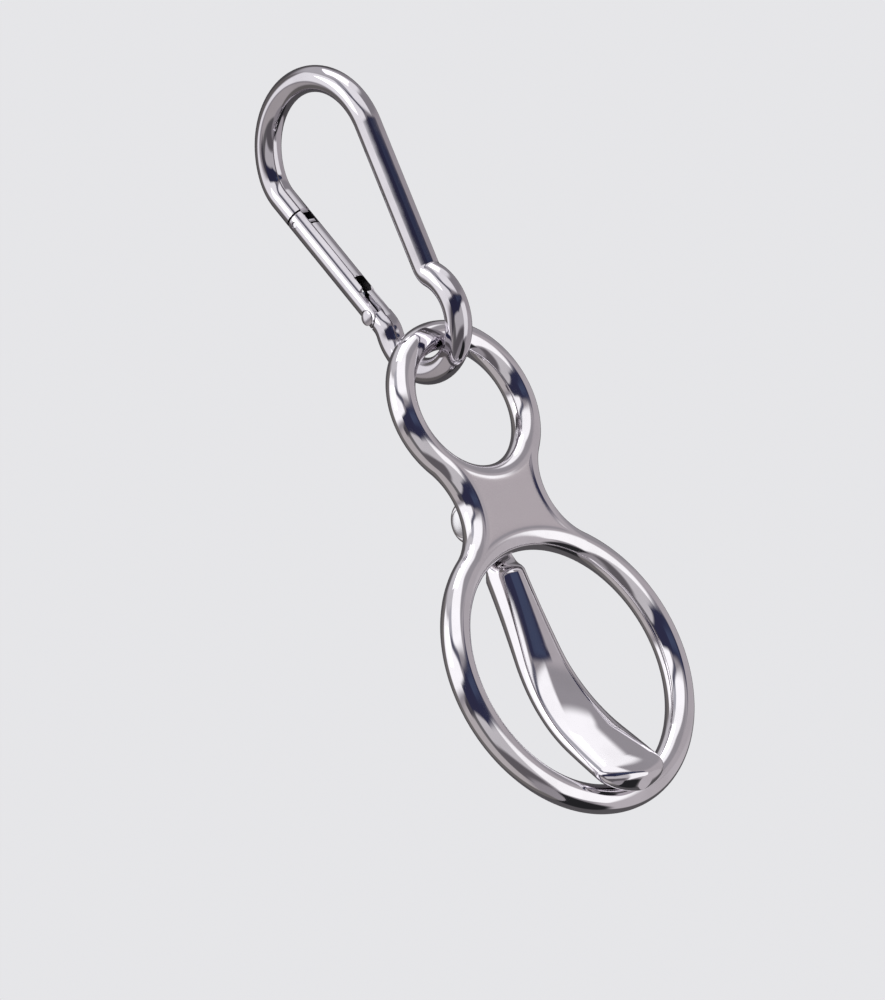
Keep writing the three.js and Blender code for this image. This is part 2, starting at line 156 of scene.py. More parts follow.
def withModifier(piece, kind, **settings):
    choose(piece)
    modifier = piece.modifiers.new(kind.lower(), kind)
    for key, value in settings.items():
        setattr(modifier, key, value)
    bpy.ops.object.modifier_apply(modifier=modifier.name)
    return piece


# Joins each of the others to a piece, or cuts it away; a cutter reaches past what it cuts
def combine(piece, others, operation):
    for other in others:
        withModifier(piece, "BOOLEAN", object=other, operation=operation, solver="EXACT")
        bpy.data.objects.remove(other)
    return piece


def softenEdges(piece, width, segments=2, angle=50):
    return withModifier(
        piece,
        "BEVEL",
        width=width,
        segments=segments,
        limit_method="ANGLE",
        angle_limit=math.radians(angle),
        use_clamp_overlap=True,
    )


def markFaces(piece, name, test):
    shares = [float(test(face.center)) for face in piece.data.polygons]
    attribute = piece.data.attributes.new(name, "FLOAT", "FACE")
    attribute.data.foreach_set("value", shares)
    return piece


def settle(piece, matrix, body, node, material, angle=30):
    choose(piece)
    bpy.ops.object.shade_smooth_by_angle(angle=math.radians(angle))
    withModifier(piece, "WEIGHTED_NORMAL", keep_sharp=True)
    piece.data.transform(toMetres @ matrix)
    piece.matrix_world = Matrix.Identity(4)
    piece.data.materials.clear()
    piece.data.materials.append(material)
    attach(piece, body)
    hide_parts(node)
    print(f"stage: {piece.name}, {len(piece.data.polygons)} faces")
    return piece


# Shader maths written as sums

class Socket:
    def __init__(self, tree, link):
        self.tree = tree
        self.link = link

    def maths(self, operation, other=None, flip=False):
        node = self.tree.nodes.new("ShaderNodeMath")
        node.operation = operation
        values = [self, other] if other is not None else [self]
        if flip:
            values.reverse()
        for i, value in enumerate(values):
            if isinstance(value, Socket):
                self.tree.links.new(value.link, node.inputs[i])
            else:
                node.inputs[i].default_value = value
        return Socket(self.tree, node.outputs[0])

    def __add__(self, other):
        return self.maths("ADD", other)

    def __radd__(self, other):
        return self.maths("ADD", other, flip=True)

    def __sub__(self, other):
        return self.maths("SUBTRACT", other)

    def __rsub__(self, other):
        return self.maths("SUBTRACT", other, flip=True)

    def __mul__(self, other):
        return self.maths("MULTIPLY", other)

    def __rmul__(self, other):
        return self.maths("MULTIPLY", other, flip=True)


class Shader:
    def __init__(self, tree):
        self.tree = tree
        self.tree.nodes.clear()

    def node(self, kind, settings=None, output=0, **values):
        node = self.tree.nodes.new(f"ShaderNode{kind}")
        for key, value in (settings or {}).items():
            setattr(node, key, value)
        for key, value in values.items():
            # i0, i1 ... are inputs by number, and other words are their names
            socket = node.inputs[int(key[1:]) if key[1:].isdigit() else key.replace("_", " ")]
            if isinstance(value, Socket):
                self.tree.links.new(value.link, socket)
            else:
                socket.default_value = value
        return Socket(self.tree, node.outputs[output]) if node.outputs else None

    def blend(self, share, first, second):
        return self.node("Mix", {"data_type": "RGBA"}, output=2, i0=share, i6=first, i7=second)

    def between(self, value, low, high, fromValue=0.0, toValue=1.0):
        return self.node(
            "MapRange",
            {"interpolation_type": "SMOOTHSTEP"},
            Value=value,
            From_Min=low,
            From_Max=high,
            To_Min=fromValue,
            To_Max=toValue,
        )


def newMaterial(name):
    material = bpy.data.materials.new(name)
    material.use_nodes = True
    return material, Shader(material.node_tree)


# Finishes: smooth and hazy are the least and most roughness, and waves is the swell's strength

finishes = {
    "ring": {
        "colour": (0.84, 0.815, 0.85),
        "tint": (0.78, 0.755, 0.785),
        "smooth": 0.035,
        "hazy": 0.11,
        "waves": 0.04,
        "webColour": (0.87, 0.825, 0.845),
        "webTint": (0.95, 0.9, 0.925),
    },
    "hook": {
        "colour": (0.63, 0.605, 0.645),
        "tint": (0.56, 0.535, 0.575),
        "smooth": 0.04,
        "hazy": 0.13,
        "waves": 0.04,
        # The slots' colour is painted shade, near black; their roughness is a duller unpolished finish
        "paintedSlotShadeColour": (0.07, 0.065, 0.07),
        "slotRough": 0.45,
    },
    "turned": {"colour": (0.82, 0.81, 0.83), "tint": (0.74, 0.73, 0.75), "smooth": 0.09, "hazy": 0.16},
    "spring": {"colour": (0.5, 0.5, 0.52), "tint": (0.4, 0.4, 0.42), "smooth": 0.28, "hazy": 0.42},
}

# Noise on the steel: its scale is in lumps per metre, and a range is where it fades in
noises = {
    "haze": {"Scale": 95.0, "Detail": 4.0, "Roughness": 0.6},
    "scuffs": {"Scale": 1400.0, "Detail": 2.0, "Roughness": 0.5},
    "swell": {"Scale": 160.0, "Detail": 1.0},
    "webGrain": {"Scale": 3400.0, "Detail": 3.0, "Roughness": 0.7},
    "turningLines": {"Scale": 3200.0, "Detail": 3.0, "Roughness": 0.7},
    "patches": {"Scale": 240.0, "Detail": 3.0},
}
wear = {
    "hazeRange": (0.35, 0.75),
    "scuffRange": (0.62, 0.8),
    "patchRange": (0.3, 0.75),
    "scuffRough": 0.05,
    "webRough": 0.13,
    "webGrainRough": 0.07,
    "webGrainHeight": 0.2,
    "swellHeight": 0.0004,
    "lineStrength": 0.12,
    "lineHeight": 0.00005,
}


def mixedTints(shader, share, values):
    colour = shader.blend(share, (*values["colour"], 1), (*values["tint"], 1))
    return colour, values["smooth"] + share * (values["hazy"] - values["smooth"])


def steelSurface(shader, colour, rough, height, strength, distance):
    normal = shader.node("Bump", Height=height, Strength=strength, Distance=distance)
    surface = shader.node("BsdfPrincipled", Base_Color=colour, Roughness=rough, Metallic=1.0, Normal=normal)
    shader.node("OutputMaterial", Surface=surface)


def polishedSteel(name, values, withWeb=False, withPaintedSlotShade=False):
    material, shader = newMaterial(name)
    spot = shader.node("TexCoord", output=3)
    haze = shader.node("TexNoise", Vector=spot, **noises["haze"])
    scuffs = shader.node("TexNoise", Vector=spot, **noises["scuffs"])
    swell = shader.node("TexNoise", Vector=spot, **noises["swell"])
    colour, rough = mixedTints(shader, shader.between(haze, *wear["hazeRange"]), values)
    rough = rough + shader.between(scuffs, *wear["scuffRange"]) * wear["scuffRough"]
    height = swell
    if withWeb:
        web = shader.node("Attribute", {"attribute_name": "satinShare"}, output=2)
        grain = shader.node("TexNoise", Vector=spot, **noises["webGrain"])
        satin = shader.blend(grain, (*values["webColour"], 1), (*values["webTint"], 1))
        colour = shader.blend(web, colour, satin)
        rough = rough + web * (wear["webRough"] + grain * wear["webGrainRough"])
        height = swell + web * grain * wear["webGrainHeight"]
    if withPaintedSlotShade:
        # Slot faces get painted shade, a near-black colour, and a rougher unpolished finish
        slot = shader.node("Attribute", {"attribute_name": "slotPaintedShadeShare"}, output=2)
        colour = shader.blend(slot, colour, (*values["paintedSlotShadeColour"], 1))
        rough = rough + slot * values["slotRough"]
    steelSurface(shader, colour, rough, height, values["waves"], wear["swellHeight"])
    return material


def plainSteel(name, values):
    material, shader = newMaterial(name)
    spot = shader.node("TexCoord", output=3)
    lines = shader.node("TexNoise", Vector=spot, **noises["turningLines"])
    patches = shader.node("TexNoise", Vector=spot, **noises["patches"])
    colour, rough = mixedTints(shader, shader.between(patches, *wear["patchRange"]), values)
    steelSurface(shader, colour, rough, lines, wear["lineStrength"], wear["lineHeight"])
    return material


ringSteel = polishedSteel("ringSteel", finishes["ring"])
ringSteelWithWeb = polishedSteel("ringSteelWithWeb", finishes["ring"], withWeb=True)
hookSteel = polishedSteel("hookSteel", finishes["hook"])
# Hook steel with painted shade in its slots
hookSteelWithPaintedSlotShade = polishedSteel("hookSteelWithPaintedSlotShade", finishes["hook"], withPaintedSlotShade=True)
turned = plainSteel("turnedSteel", finishes["turned"])
springSteel = plainSteel("springSteel", finishes["spring"])
print("stage: finishes")


# Ring frame: both rings, the concave side rods and the shallow web between them

ringValues = {
    "wire": 7.0,
    "bigRadius": 33.05,  # each radius is to the middle of the wire
    "smallRadius": 18.45,
    "centres": 66.2,  # from the big ring's centre to the small one's
    "waistRadius": 18.0,
    "webRecess": 0.15,
    "fillet": 2.0,  # how firmly the web's edge turns: larger is tighter
    "satinFrom": 0.35,  # satin starts at this share of the recess
    "satinOver": 0.6,  # and is full after this much more of it
    "leastDrop": 1e-5,  # keeps the web's sums finite on the crest lines
    "mergeWithin": 1e-4,
    "acrossWeb": 72,
    "upWeb": 56,
    "aroundBig": 320,
    "aroundSmall": 188,
    "quarter": 12,
}

# The big ring's centre is the origin of the ring's own drawing
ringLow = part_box("ring_frame")[0] / 0.001
ringPlace = Matrix.Translation(
    (0, ringLow.y + ringValues["wire"] / 2, ringLow.z + ringValues["bigRadius"] + ringValues["wire"] / 2)
)


def arcPoints(centre, radius, start, end, steps):
    angles = np.linspace(start, end, steps + 1)
    return np.stack([centre[0] + radius * np.cos(angles), centre[1] + radius * np.sin(angles)], 1)


def ringFrame(v):
    r, big, small, rise = v["wire"] / 2, v["bigRadius"], v["smallRadius"], v["centres"]
    waist = v["waistRadius"]
    waistRise = (rise**2 + (big + waist) ** 2 - (small + waist) ** 2) / (2 * rise)
    reach = math.sqrt((big + waist) ** 2 - waistRise**2)
    bigTangent = math.atan2(waistRise, reach)
    smallTangent = math.atan2(rise - waistRise, reach)
    bottom, top = (0, 0), (0, rise)
    left, right = (-reach, waistRise), (reach, waistRise)
    bottomArc = arcPoints(bottom, big, math.pi - bigTangent, bigTangent, v["acrossWeb"])
    topArc = arcPoints(top, small, smallTangent - math.pi, -smallTangent, v["acrossWeb"])
    leftRod = arcPoints(left, waist, -bigTangent, smallTangent, v["upWeb"])
    rightRod = leftRod * (-1, 1)
    underBig = arcPoints(bottom, big, bigTangent, -math.pi - bigTangent, v["aroundBig"])
    overSmall = arcPoints(top, small, math.pi + smallTangent, -smallTangent, v["aroundSmall"])

    points, faces, shares = [], [], []

    def addGrid(places, heights, satin, side):
        first = len(points)
        rows, columns = heights.shape
        for i in range(rows):
            for j in range(columns):
                x, z = places[i, j]
                points.append((x, side * heights[i, j], z))
                shares.append(satin[i, j])
        for i in range(rows - 1):
            for j in range(columns - 1):
                corner = first + i * columns + j
                faces.append((corner, corner + 1, corner + columns + 1, corner + columns))

    turns = np.linspace(0, math.pi / 2, v["quarter"] + 1)

    # A quarter of the wire's round, from its crest to one side, in front and behind
    def addQuarter(line, outward):
        places = line[:, None, :] + outward[:, None, :] * (r * np.sin(turns))[None, :, None]
        heights = np.repeat((r * np.cos(turns))[None, :], len(line), 0)
        for side in (-1, 1):
            addGrid(places, heights, np.zeros_like(heights), side)

    def outOf(line, centre, radius):
        return (line - np.array(centre)) / radius

    addQuarter(underBig, outOf(underBig, bottom, big))
    addQuarter(overSmall, outOf(overSmall, top, small))
    addQuarter(leftRod, -outOf(leftRod, left, waist))
    addQuarter(rightRod, -outOf(rightRod, right, waist))
    for line, centre, radius in (
        (underBig, bottom, big),
        (bottomArc, bottom, big),
        (overSmall, top, small),
        (topArc, top, small),
    ):
        addQuarter(line, -outOf(line, centre, radius))

    # The web fills the space between the four crest lines
    across = np.linspace(0, 1, v["acrossWeb"] + 1)[None, :, None]
    up = np.linspace(0, 1, v["upWeb"] + 1)[:, None, None]
    corners = (
        (1 - up) * ((1 - across) * bottomArc[0] + across * bottomArc[-1])
        + up * ((1 - across) * topArc[0] + across * topArc[-1])
    )
    places = (
        (1 - up) * bottomArc[None]
        + up * topArc[None]
        + (1 - across) * leftRod[:, None]
        + across * rightRod[:, None]
        - corners
    )
    power = v["fillet"]
    total = np.full(places.shape[:2], v["webRecess"] ** -power)
    for centre, radius in ((bottom, big), (top, small), (left, waist), (right, waist)):
        away = np.linalg.norm(places - np.array(centre), axis=2) - radius
        drop = away**2 / (2 * r) + away**4 / (8 * r**3)
        total += np.maximum(drop, v["leastDrop"]) ** -power
    drop = total ** (-1 / power)
    satin = np.clip((drop / v["webRecess"] - v["satinFrom"]) / v["satinOver"], 0, 1)
    satin = satin * satin * (3 - 2 * satin)
    for side in (-1, 1):
        addGrid(places, r - drop, satin, side)

    # Points that the strips share are merged into one
    points = np.array(points)
    keys = np.round(points / v["mergeWithin"]).astype(np.int64)
    first, index = np.unique(keys, axis=0, return_index=True, return_inverse=True)[1:]
    index = index.reshape(-1)
    faces = [tuple(int(index[k]) for k in face) for face in faces]
    mesh = bpy.data.meshes.new("ringFrame")
    mesh.from_pydata(points[first].tolist(), [], faces)
    attribute = mesh.attributes.new("satinShare", "FLOAT", "POINT")
    attribute.data.foreach_set("value", np.array(shares, np.float32)[first])
    piece = bpy.data.objects.new("ringFrame", mesh)
    bpy.context.collection.objects.link(piece)
    choose(piece)
    bpy.ops.object.mode_set(mode="EDIT")
    turnOutwards()
    return piece


ringPiece = ringFrame(ringValues)
settle(ringPiece, ringPlace, "ring", "ring_frame", ringSteelWithWeb, angle=80)


# Two lugs behind the waist, which hold the tongue's pin

lugValues = {
    "rise": 40.9,  # of the pin above the big ring's centre
    "setback": 8.05,  # of the pin behind the ring's middle plane
    "radius": 5.2,
    "inner": 3.0,  # from the middle to a lug's inner face
    "thickness": 2.9,
    "holeRadius": 2.05,
    "rim": 0.95,  # rounding of the outer rims
    "rimSteps": 6,
    "edge": 0.3,
    "edgeSteps": 3,
}


def hingeLugs(v):
    outer = v["inner"] + v["thickness"]
    place = (v["setback"], v["rise"])
    lug = addCylinder("hingeLugs", v["radius"], v["inner"], outer, place=place)
    pickVertices(lug, lambda co: co.x > outer - pickWithin)
    bpy.ops.mesh.bevel(offset=v["rim"], segments=v["rimSteps"], affect="EDGES")
    # The half towards the ring is flattened onto the ring's middle plane
    pickVertices(lug, lambda co: co.y < v["setback"] - pickWithin)
    bpy.ops.transform.resize(value=(1, 0, 1), center_override=(0, 0, 0))
    bpy.ops.object.mode_set(mode="OBJECT")
    hole = addCylinder("hole", v["holeRadius"], v["inner"] - 1, outer + 1, place=place)
    combine(lug, [hole], "DIFFERENCE")
    softenEdges(lug, v["edge"], v["edgeSteps"])
    return withModifier(lug, "MIRROR")


lugs = hingeLugs(lugValues)
settle(lugs, ringPlace, "ring", "ring_frame", ringSteel)


# A round pin along X with a domed head at each end

domeSteps = [math.radians(degrees) for degrees in (0, 12, 24, 36, 48, 60, 72, 83)]
intoHead = 0.2  # the shaft runs this far into each head


def headedPin(name, radius, headRadius, headHeight, halfLength, domeShare=0.5):
    pin = addCylinder(name, radius, -halfLength - intoHead, halfLength + intoHead, smallSides)
    heads = []
    for side in (-1, 1):
        ends = sorted((side * halfLength, side * (halfLength + headHeight)))
        head = addCylinder("head", headRadius, *ends)
        pickVertices(head, lambda co: abs(co.x) > halfLength + headHeight / 2)
        dome = side * headHeight * domeShare  # the dome's share of the head's height
        bpy.ops.transform.translate(value=(-dome, 0, 0))
        for here, following in zip(domeSteps, domeSteps[1:]):
            climb = dome * (math.sin(following) - math.sin(here))
            shrink = math.cos(following) / math.cos(here)
            extrudeBy(climb, 0, 0)
            bpy.ops.transform.resize(value=(1, shrink, shrink), center_override=(0, 0, 0))
        bpy.ops.object.mode_set(mode="OBJECT")
        heads.append(head)
    return combine(pin, heads, "UNION")


pinValues = {"radius": 1.75, "headRadius": 3.5, "headHeight": 1.0, "domeShare": 0.3}
pinGap = 0.3  # between a lug and the pin's head

hingePin = headedPin(
    "tongueHingePin", halfLength=lugValues["inner"] + lugValues["thickness"] + pinGap, **pinValues
)
hingePlace = ringPlace @ Matrix.Translation((0, lugValues["setback"], lugValues["rise"]))
settle(hingePin, hingePlace, "ring", "tongue_hinge_pin", turned)


# Tongue: a forged bar of oval section, bent forwards and rounded at its tip

tongueValues = {
    "setback": lugValues["setback"],
    "rise": lugValues["rise"],
    "knuckleWidth": 5.4,
    "knuckleRadius": 4.0,
    "holeRadius": lugValues["holeRadius"],
    "neckThickness": 3.6,
    "shoulderThickness": 9.6,
    "thickness": 7.8,
    "neckWidth": 9.7,
    "width": 20.5,
    "underLugs": 5.5,
    "neckLength": 7.0,
    "shoulderDrop": 11.2,
    "shoulderLength": 3.4,
    "slant": 34,  # degrees, of the end below the bend
    "bendRadius": 44,
    "tipOverhang": 5.0,
    "tipRounding": 6.2,
    "tipFullness": 0.985,  # just under 1 leaves a small flat at the very end
    "tipThickness": 0.45,  # share of the thickness kept as the tip narrows
    "seatGap": 0.3,  # between the tongue and the big ring it rests on
    "sides": 48,
    "rowStep": 0.9,
    "tipRows": 12,
}


def smoothStep(value, low, high):
    t = min(max((value - low) / (high - low), 0), 1)
    return t * t * (3 - 2 * t)


def tongueBar(v, ring):
    slant = math.radians(v["slant"])
    seat = ring["wire"] / 2 + v["seatGap"] + v["thickness"] / 2
    seatY, seatZ = -seat * math.cos(slant), -ring["bigRadius"] + seat * math.sin(slant)
    cornerZ = seatZ + (v["setback"] - seatY) / math.tan(slant)
    bendZ = cornerZ + v["bendRadius"] * math.tan(slant / 2)
    shank = v["rise"] - bendZ
    bend = v["bendRadius"] * slant
    endY, endZ = seatY - v["tipOverhang"] * math.sin(slant), seatZ - v["tipOverhang"] * math.cos(slant)
    bentY = v["setback"] - v["bendRadius"] * (1 - math.cos(slant))
    bentZ = bendZ - v["bendRadius"] * math.sin(slant)
    whole = shank + bend + math.hypot(endY - bentY, endZ - bentZ)

    # A straight round bar, 1 mm across, hangs down, and its rows are then sized and bent one by one
    tipStart = whole - v["tipRounding"]
    lengths = [0.0]
    while lengths[-1] < tipStart - pickWithin:
        lengths.append(min(lengths[-1] + v["rowStep"], tipStart))
    for row in range(1, v["tipRows"] + 1):
        lengths.append(whole - v["tipRounding"] * (1 - math.sin(math.pi / 2 * row / v["tipRows"])))
    bar = startDisc("forgedTongue", 0.5, v["sides"])
    for here, following in zip(lengths, lengths[1:]):
        extrudeBy(0, 0, here - following)
    bpy.ops.object.mode_set(mode="OBJECT")
    for vertex in bar.data.vertices:
        length = -vertex.co.z
        widening = smoothStep(length, v["underLugs"], v["underLugs"] + v["neckLength"])
        along = smoothStep(length, v["underLugs"] + v["neckLength"], tipStart)
        intoTip = max(0, length - tipStart) / v["tipRounding"]
        tip = math.sqrt(max(0, 1 - (intoTip * v["tipFullness"]) ** 2))
        neck = v["knuckleWidth"] + (v["neckWidth"] - v["knuckleWidth"]) * widening
        width = (neck + (v["width"] - neck) * along) * tip
        shoulder = smoothStep(length, v["shoulderDrop"], v["shoulderDrop"] + v["shoulderLength"])
        under = v["shoulderThickness"] + (v["thickness"] - v["shoulderThickness"]) * along
        thick = v["neckThickness"] + (under - v["neckThickness"]) * shoulder
        thick *= tip + (1 - tip) * v["tipThickness"]
        x, y = vertex.co.x * width, vertex.co.y * thick
        if length <= shank:
            angle, startY, startZ, rest = 0, v["setback"], v["rise"] - length, 0
        elif length <= shank + bend:
            angle = (length - shank) / v["bendRadius"]
            startY = v["setback"] - v["bendRadius"] * (1 - math.cos(angle))
            startZ = bendZ - v["bendRadius"] * math.sin(angle)
            rest = 0
        else:
            angle, startY, startZ, rest = slant, bentY, bentZ, length - shank - bend
        vertex.co = (
            x,
            startY - rest * math.sin(angle) + y * math.cos(angle),
            startZ - rest * math.cos(angle) - y * math.sin(angle),
        )
    half = v["knuckleWidth"] / 2
    place = (v["setback"], v["rise"])
    knuckle = addCylinder("knuckle", v["knuckleRadius"], -half, half, place=place)
    hole = addCylinder("hole", v["holeRadius"], -half - 2, half + 2, place=place)
    combine(bar, [knuckle], "UNION")
    return combine(bar, [hole], "DIFFERENCE")


tongue = tongueBar(tongueValues, ringValues)
settle(tongue, ringPlace, "tongue", "tongue", ringSteel, angle=38)


# Snap hook: one bent wire, flattened where the gate's fork straddles it

hookValues = {
    "wire": 6.4,
    "topBow": 18.3,  # bows and bends are radii to the middle of the wire
    "narrowBow": 11.9,
    "bowCentres": 47.7,  # height from one bow's centre to the other's
    "spineInset": 7.7,  # from the spine to the narrow bow's centre
    "neckBend": 3.8,
    "heelInset": 2.4,
    "noseInset": 0.8,
    "heelBend": 6.0,
    "noseBend": 12.0,
    "noseLength": 6.2,
    "sides": 64,
    "degreesPerStep": 3,
    "mergeWithin": 0.0005,
    "edge": 0.14,
}

gateValues = {
    "pivotRise": 2.9,
    "cheekRadius": 2.5,
    "cheekHeight": 5.8,
    "forkTaper": 2.0,
    "forkDepth": 10.0,
    "shoulderRelief": 1.2,
    "tang": 2.4,
    "tangHeight": 5.0,
    "rivet": 2.2,  # diameter, as are its head, the latch pin and the bore
    "rivetHead": 3.6,
    "rivetHeadHeight": 0.6,
    "rivetSink": 0.7,
    "latchThickness": 2.0,
    "latchWidth": 5.6,
    "latchDepth": 4.0,
    "latchEndRoom": 0.7,
    "latchPin": 1.6,
    "latchPinDepth": 1.9,
    "bore": 3.0,
    "boreEndWall": 2.8,
    "gap": 0.3,
    "seatGap": 0.12,  # round the rivet's heads
    "latchHoleGap": 0.02,
    "latchEdge": 0.15,
    "latchPinEdge": 0.2,
    "endRounding": 0.35,
    "edge": 0.12,
    "sides": 96,
    "rows": 60,
}

# How far past a cut's walls a face's middle may lie and still get painted shade, and
# how deep under the gate's outside it must be
paintedShadeMargins = {"round": 0.03, "tang": 0.05, "rivet": 0.2, "slot": 0.02, "slotEnd": 0.1, "depth": 0.4}

h, g, m = hookValues, gateValues, paintedShadeMargins
hookRadius = h["wire"] / 2
hookPlace = Matrix.Translation((0, 0, hookRadius - h["topBow"]))
narrowBow = Vector((h["spineInset"] - h["topBow"], -h["bowCentres"]))
heelReach = h["narrowBow"] - h["heelInset"]
noseReach = h["topBow"] - h["noseInset"]
slant = math.atan2(-narrowBow.x, h["bowCentres"]) + math.asin((noseReach - heelReach) / narrowBow.length)
outward = Vector((math.cos(slant), -math.sin(slant)))
upGate = Vector((math.sin(slant), math.cos(slant)))
axisShift = hookRadius - g["cheekRadius"]
rivetSeat = hookRadius - g["rivetSink"]


def sideways(start, out, up):
    return start + outward * out + upGate * up


heelClimb = math.sqrt((h["narrowBow"] + h["heelBend"]) ** 2 - (heelReach + h["heelBend"]) ** 2)
heelCentre = sideways(narrowBow, heelReach + h["heelBend"], heelClimb)
heelEnd = sideways(narrowBow, heelReach, heelClimb)
pivot = sideways(heelEnd, axisShift, g["pivotRise"])
noseClimb = math.sqrt((h["topBow"] - h["noseBend"]) ** 2 - (noseReach - h["noseBend"]) ** 2)
noseCentre = sideways(Vector((0, 0)), noseReach - h["noseBend"], noseClimb)
noseFace = sideways(noseCentre, h["noseBend"], -h["noseLength"])
gateLength = (noseFace - pivot).dot(upGate) - g["gap"]
gatePlace = hookPlace @ Matrix.Translation((0, pivot.x, pivot.y)) @ Matrix.Rotation(-slant, 4, "X")


def angleOf(vector):
    return math.degrees(math.atan2(vector.y, vector.x))


def bentWire(name, start, direction, moves):
    turn = Vector((0, direction.x, direction.y)).to_track_quat("Z", "X").to_euler()
    wire = startDisc(name, hookRadius, h["sides"], (0, start.x, start.y), turn)
    for kind, *values in moves:
        if kind == "straight":
            extrudeBy(0, *values[0])
        else:
            centre, degrees = values
            bpy.ops.mesh.spin(
                steps=max(3, round(abs(degrees) / h["degreesPerStep"])),
                angle=math.radians(-degrees),  # spin turns clockwise about its axis
                center=(0, centre.x, centre.y),
                axis=(1, 0, 0),
            )
    bpy.ops.mesh.select_all(action="SELECT")
    bpy.ops.mesh.remove_doubles(threshold=h["mergeWithin"])
    turnOutwards()
    return wire


def hookMoves():
    slantDeg = math.degrees(slant)
    reach = h["spineInset"] + h["neckBend"]
    climb = math.sqrt((h["neckBend"] + h["narrowBow"]) ** 2 - reach**2)
    neckDeg = math.degrees(math.atan2(climb, reach))
    neckCentre = Vector((narrowBow.x - reach, narrowBow.y + climb))
    noseDeg = angleOf(noseCentre)
    heelDeg = angleOf(heelCentre - narrowBow)
    spineTop = Vector((-h["topBow"], 0))
    spineEnd = Vector((-h["topBow"], neckCentre.y))
    tangEnd = sideways(pivot, -axisShift, g["tangHeight"])
    return [
        ("straight", upGate * h["noseLength"]),
        ("turn", noseCentre, noseDeg + slantDeg),
        ("turn", Vector((0, 0)), 180 - noseDeg),
        ("straight", spineEnd - spineTop),
        ("turn", neckCentre, -neckDeg),
        ("turn", narrowBow, 180 + heelDeg + neckDeg),
        ("turn", heelCentre, -slantDeg - heelDeg),
        ("straight", tangEnd - heelEnd),
    ]


def gateBlock(name, lowY, highY, lowZ, highZ, halfX):
    return addBlock(name, (-halfX, lowY, lowZ), (halfX, highY, highZ))


def inGate(piece):
    piece.data.transform(hookPlace.inverted() @ gatePlace)
    return piece


pinRise = gateLength - g["latchPinDepth"]
pinHole = g["latchPin"] / 2 + g["gap"]
past = 3  # how far most of the body's cutters reach past what they cut


def snapBody():
    wire = bentWire("snapBody", noseFace, upGate, hookMoves())
    half = g["tang"] / 2
    low, top = -g["shoulderRelief"], g["tangHeight"] + past
    cutters = []
    for side in (-1, 1):
        fromX, toX = sorted((side * half, side * (hookRadius + 2)))
        cutters.append(addCylinder("shoulder", g["cheekRadius"] + g["gap"], fromX, toX))
        cutters.append(addBlock("flat", (fromX, -h["wire"], 0), (toX, h["wire"], top)))
        cutters.append(addBlock("relief", (fromX, -h["wire"], low), (toX, 0, top)))
    combine(wire, [inGate(cutter) for cutter in cutters], "DIFFERENCE")
    latch = gateBlock(
        "latch",
        -axisShift - g["latchWidth"] / 2,
        -axisShift + g["latchWidth"] / 2,
        gateLength - g["latchDepth"],
        gateLength + g["gap"] + 1,
        g["latchThickness"] / 2,
    )
    notch = gateBlock(
        "notch", -axisShift - g["latchWidth"], -axisShift, pinRise - pinHole, pinRise + pinHole, past
    )
    throat = addCylinder("throat", pinHole, -past, past, smallSides, place=(-axisShift, pinRise))
    combine(latch, [notch, throat], "DIFFERENCE")
    softenEdges(latch, g["latchEdge"])
    combine(wire, [inGate(latch)], "UNION")
    softenEdges(wire, h["edge"], angle=55)
    toGate = gatePlace.inverted() @ hookPlace

    # Faces painted with shade, and made rougher: the shoulder's round, beside the tang and under the rivet
    def inGap(spot):
        here = toGate @ spot
        onRound = math.hypot(here.y, here.z) < g["cheekRadius"] + g["gap"] + m["round"]
        return onRound and abs(here.x) > half + m["tang"] and here.z < m["rivet"]

    return markFaces(wire, "slotPaintedShadeShare", inGap)


body = snapBody()
settle(body, hookPlace, "hook_body", "snap_body", hookSteelWithPaintedSlotShade, angle=32)


# Gate: a round bar with a fork below and a slot above

